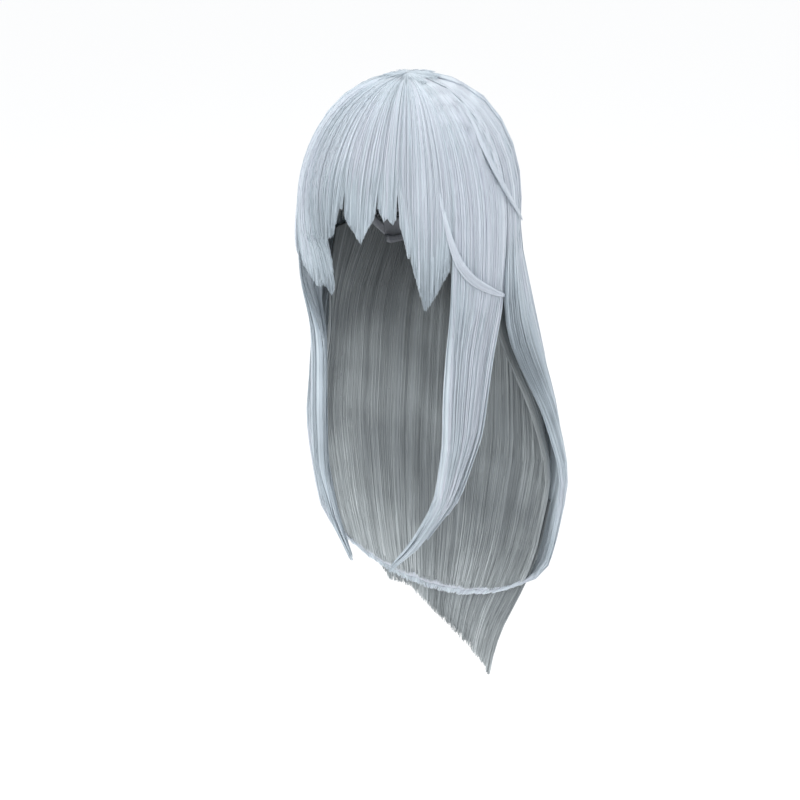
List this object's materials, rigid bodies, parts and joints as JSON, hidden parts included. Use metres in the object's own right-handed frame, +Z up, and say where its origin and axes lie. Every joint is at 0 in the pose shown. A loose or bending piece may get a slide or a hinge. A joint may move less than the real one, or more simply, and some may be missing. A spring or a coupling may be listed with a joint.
{
  "type": "costume wig",
  "caption": "Long straight costume wig with a pointed fringe, front locks and layered back hair on a net cap with nape adjusters.",
  "frame": {"origin": "middle of the head opening at ear level, where the wearer's head seats", "axes": "+Z up to the crown, -Y towards the face opening, +X to the wearer's left"},
  "size_m": [0.33, 0.2432, 0.7303],
  "materials": {
    "hair_outer": "silky pale silver-grey synthetic fibre",
    "hair_inner": "duller grey synthetic fibre of the inner layers",
    "cap_net": "fine open stretch net",
    "cap_band": "soft knitted stretch band",
    "cap_ribbon": "woven ribbon",
    "crown_skin": "fine pale lace with a rubbery backing",
    "weft_header": "three-row stitched hair track",
    "loop_tape": "woven tape",
    "elastic": "ribbed woven elastic",
    "hook_plastic": "moulded nylon",
    "stay_steel": "thin sprung strip"
  },
  "bodies": {
    "cap": {"adjuster_strap_left": "elastic", "adjuster_strap_right": "elastic", "back_crown_left": "hair_outer", "back_crown_right": "hair_outer", "centre_ribbon": "cap_ribbon", "cross_ribbon_left": "cap_ribbon", "cross_ribbon_right": "cap_ribbon", "crown_net": "cap_net", "crown_patch": "crown_skin", "crown_whorl": "hair_outer", "ear_flick_left": "hair_outer", "ear_stay_left": "stay_steel", "ear_stay_right": "stay_steel", "ear_tab_left": "cap_band", "ear_tab_right": "cap_band", "fringe_centre": "hair_outer", "fringe_left": "hair_outer", "fringe_right": "hair_outer", "front_band": "cap_band", "jaw_lock_left": "hair_outer", "jaw_lock_right": "hair_outer", "loop_tape_left": "loop_tape", "loop_tape_right": "loop_tape", "nape_panel": "cap_band", "side_band_left": "cap_band", "side_band_right": "cap_band", "side_fringe_left": "hair_outer", "side_fringe_right": "hair_outer", "side_hair_left": "hair_outer", "side_hair_right": "hair_outer", "strap_anchor_left": "loop_tape", "strap_anchor_right": "loop_tape", "temple_hair_left": "hair_outer", "temple_hair_right": "hair_outer", "weft_row_1": "weft_header", "weft_row_2": "weft_header", "weft_row_3": "weft_header", "weft_row_4": "weft_header", "weft_row_5": "weft_header", "weft_row_6": "weft_header"},
    "left_lock": {"side_lock_left": "hair_outer"},
    "right_lock": {"side_lock_right": "hair_outer"},
    "back_hair": {"back_hair_left": "hair_outer", "back_hair_centre": "hair_outer", "back_hair_right": "hair_outer", "under_layer_left": "hair_inner", "under_layer_centre": "hair_inner", "under_layer_right": "hair_inner"},
    "left_hook": {"adjuster_hook_left": "hook_plastic"},
    "right_hook": {"adjuster_hook_right": "hook_plastic"}
  },
  "joints": [
    {"name": "left_lock_swing", "type": "hinge", "parent": "cap", "child": "left_lock", "pos_m": [0.078, -0.045, -0.078], "axis": [0, -1, 0], "range_deg": [0, 30]},
    {"name": "right_lock_swing", "type": "hinge", "parent": "cap", "child": "right_lock", "pos_m": [-0.078, -0.045, -0.078], "axis": [0, 1, 0], "range_deg": [0, 30]},
    {"name": "back_hair_swing", "type": "hinge", "parent": "cap", "child": "back_hair", "pos_m": [0, 0.066, 0.03], "axis": [1, 0, 0], "range_deg": [0, 25]},
    {"name": "left_hook_travel", "type": "hinge", "parent": "cap", "child": "left_hook", "pos_m": [0, 0.033, -0.045], "axis": [0, 0, 1], "range_deg": [0, 24], "deforming": ["adjuster_strap_left"]},
    {"name": "right_hook_travel", "type": "hinge", "parent": "cap", "child": "right_hook", "pos_m": [0, 0.033, -0.045], "axis": [0, 0, -1], "range_deg": [0, 24], "deforming": ["adjuster_strap_right"]}
  ]
}
